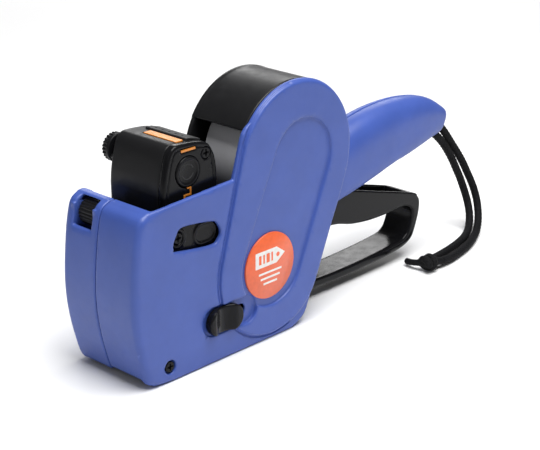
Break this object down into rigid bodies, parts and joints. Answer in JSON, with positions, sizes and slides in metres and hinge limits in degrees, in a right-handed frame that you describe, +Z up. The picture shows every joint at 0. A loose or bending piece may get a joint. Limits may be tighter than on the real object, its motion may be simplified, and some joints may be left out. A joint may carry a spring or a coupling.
{
  "type": "price labeling gun",
  "caption": "Hand-held price labeling gun with a squeeze trigger, tilting print head, label roll under a hinged cover and a wrist strap.",
  "frame": {"origin": "middle of the flat base that the gun rests on, on the plane between its sides", "axes": "+Z up out of the base, -X towards the nose where the label comes out, +X towards the handle end, +Y towards the gun's right side"},
  "size_m": [0.2744, 0.0562, 0.1219],
  "materials": {
    "casing_blue": "satin moulded ABS with a very fine grain",
    "black_plastic": "satin moulded plastic",
    "black_gloss": "smooth glossy moulded plastic",
    "badge_orange": "printed and laminated sticker",
    "amber_window": "translucent tinted plastic",
    "steel": "turned steel",
    "rubber": "matt moulded rubber",
    "label_paper": "edge of a wound label web",
    "core_card": "spiral wound board",
    "ink_felt": "ink-soaked felt",
    "strap_cord": "braided nylon cord",
    "grey_plastic": "textured moulded plastic"
  },
  "bodies": {
    "casing": {"casing_left": "casing_blue", "casing_right": "casing_blue", "bottom_cover_pin": "steel", "casing_screw_front": "black_plastic", "casing_screw_rear": "black_plastic", "casing_screw_upper": "black_plastic", "casing_screw_handle": "black_plastic", "side_badge": "badge_orange", "dial_axle": "steel", "roll_cover_pin": "steel", "roll_spindle": "black_plastic", "roll_retainer": "black_plastic", "ink_axle": "steel", "platen": "rubber", "applicator_axle": "steel", "trigger_pin": "steel", "head_pivot_pin": "steel", "feed_shaft": "steel", "return_spring": "steel", "strap_pin": "steel", "strap_bight": "strap_cord", "strap_strand_outer": "strap_cord", "strap_strand_inner": "strap_cord", "strap_knot": "strap_cord"},
    "print_head": {"head_frame": "black_plastic", "frame_screw": "black_plastic", "print_head_housing": "black_plastic", "print_head_cap": "black_plastic", "cap_screw": "black_plastic", "cap_window": "amber_window", "cap_pointer": "amber_window", "top_window": "amber_window", "top_plate": "grey_plastic", "index_pin": "black_gloss", "print_anvil": "steel", "cap_button": "black_gloss", "band_drum": "black_plastic", "type_band_1": "rubber", "type_band_2": "rubber", "type_band_3": "rubber", "type_band_4": "rubber", "type_band_5": "rubber", "type_band_6": "rubber", "type_band_7": "rubber", "type_band_8": "rubber"},
    "selector": {"selector_shaft": "steel"},
    "knob": {"select_knob": "black_plastic"},
    "trigger": {"trigger_lever": "black_plastic", "drive_pin": "steel"},
    "bottom_cover": {"bottom_cover": "casing_blue"},
    "latch": {"latch_slider": "black_plastic"},
    "dial": {"position_dial": "black_plastic"},
    "roll_cover": {"roll_cover": "black_plastic"},
    "label_roll": {"label_roll": "label_paper", "label_core": "core_card"},
    "ink_roller": {"ink_roller": "ink_felt"},
    "feed_wheel": {"feed_wheel": "black_plastic"},
    "guide_roller": {"guide_roller": "black_plastic"},
    "applicator_roller": {"applicator_roller": "rubber"}
  },
  "joints": [
    {"name": "trigger_squeeze", "type": "hinge", "parent": "casing", "child": "trigger", "pos_m": [0.06, 0, 0.04], "axis": [0, -1, 0], "range_deg": [0, 13], "stiffness_Nm_per_rad": 2, "springref_deg": -8.59, "deforming": ["return_spring"]},
    {"name": "print_head_swing", "type": "hinge", "parent": "casing", "child": "print_head", "pos_m": [0.0645, 0, 0.06], "axis": [0, -1, 0], "range_deg": [0, 4.6]},
    {"name": "selector_pull", "type": "slide", "parent": "print_head", "child": "selector", "axis": [0, 1, 0], "range_m": [0, 0.003]},
    {"name": "knob_turn", "type": "hinge", "parent": "selector", "child": "knob", "pos_m": [-0.0248, 0, 0.0964], "axis": [0, 1, 0], "continuous": true},
    {"name": "bottom_cover_hinge", "type": "hinge", "parent": "casing", "child": "bottom_cover", "pos_m": [0.0355, 0, 0.0036], "axis": [0, -1, 0], "range_deg": [0, 55]},
    {"name": "latch_slide", "type": "slide", "parent": "casing", "child": "latch", "axis": [1, 0, 0], "range_m": [0, 0.007]},
    {"name": "dial_turn", "type": "hinge", "parent": "casing", "child": "dial", "pos_m": [-0.0452, 0, 0.0732], "axis": [0, 1, 0], "continuous": true},
    {"name": "roll_cover_hinge", "type": "hinge", "parent": "casing", "child": "roll_cover", "pos_m": [0.0782, 0, 0.0892], "axis": [0, 1, 0], "range_deg": [0, 75]},
    {"name": "label_roll_turn", "type": "hinge", "parent": "casing", "child": "label_roll", "pos_m": [0.0442, 0, 0.0845], "axis": [0, 1, 0], "continuous": true},
    {"name": "ink_roller_turn", "type": "hinge", "parent": "casing", "child": "ink_roller", "pos_m": [-0.0406, 0, 0.042], "axis": [0, 1, 0], "continuous": true},
    {"name": "feed_wheel_turn", "type": "hinge", "parent": "casing", "child": "feed_wheel", "pos_m": [0.016, 0, 0.022], "axis": [0, 1, 0], "continuous": true},
    {"name": "guide_roller_turn", "type": "hinge", "parent": "casing", "child": "guide_roller", "pos_m": [0.038, 0, 0.024], "axis": [0, 1, 0], "continuous": true},
    {"name": "applicator_roller_turn", "type": "hinge", "parent": "casing", "child": "applicator_roller", "pos_m": [-0.041, 0, 0.007], "axis": [0, 1, 0], "continuous": true}
  ],
  "couplings": [
    {"joint": "print_head_swing", "follows": "trigger_squeeze", "ratio": 0.3487}
  ]
}
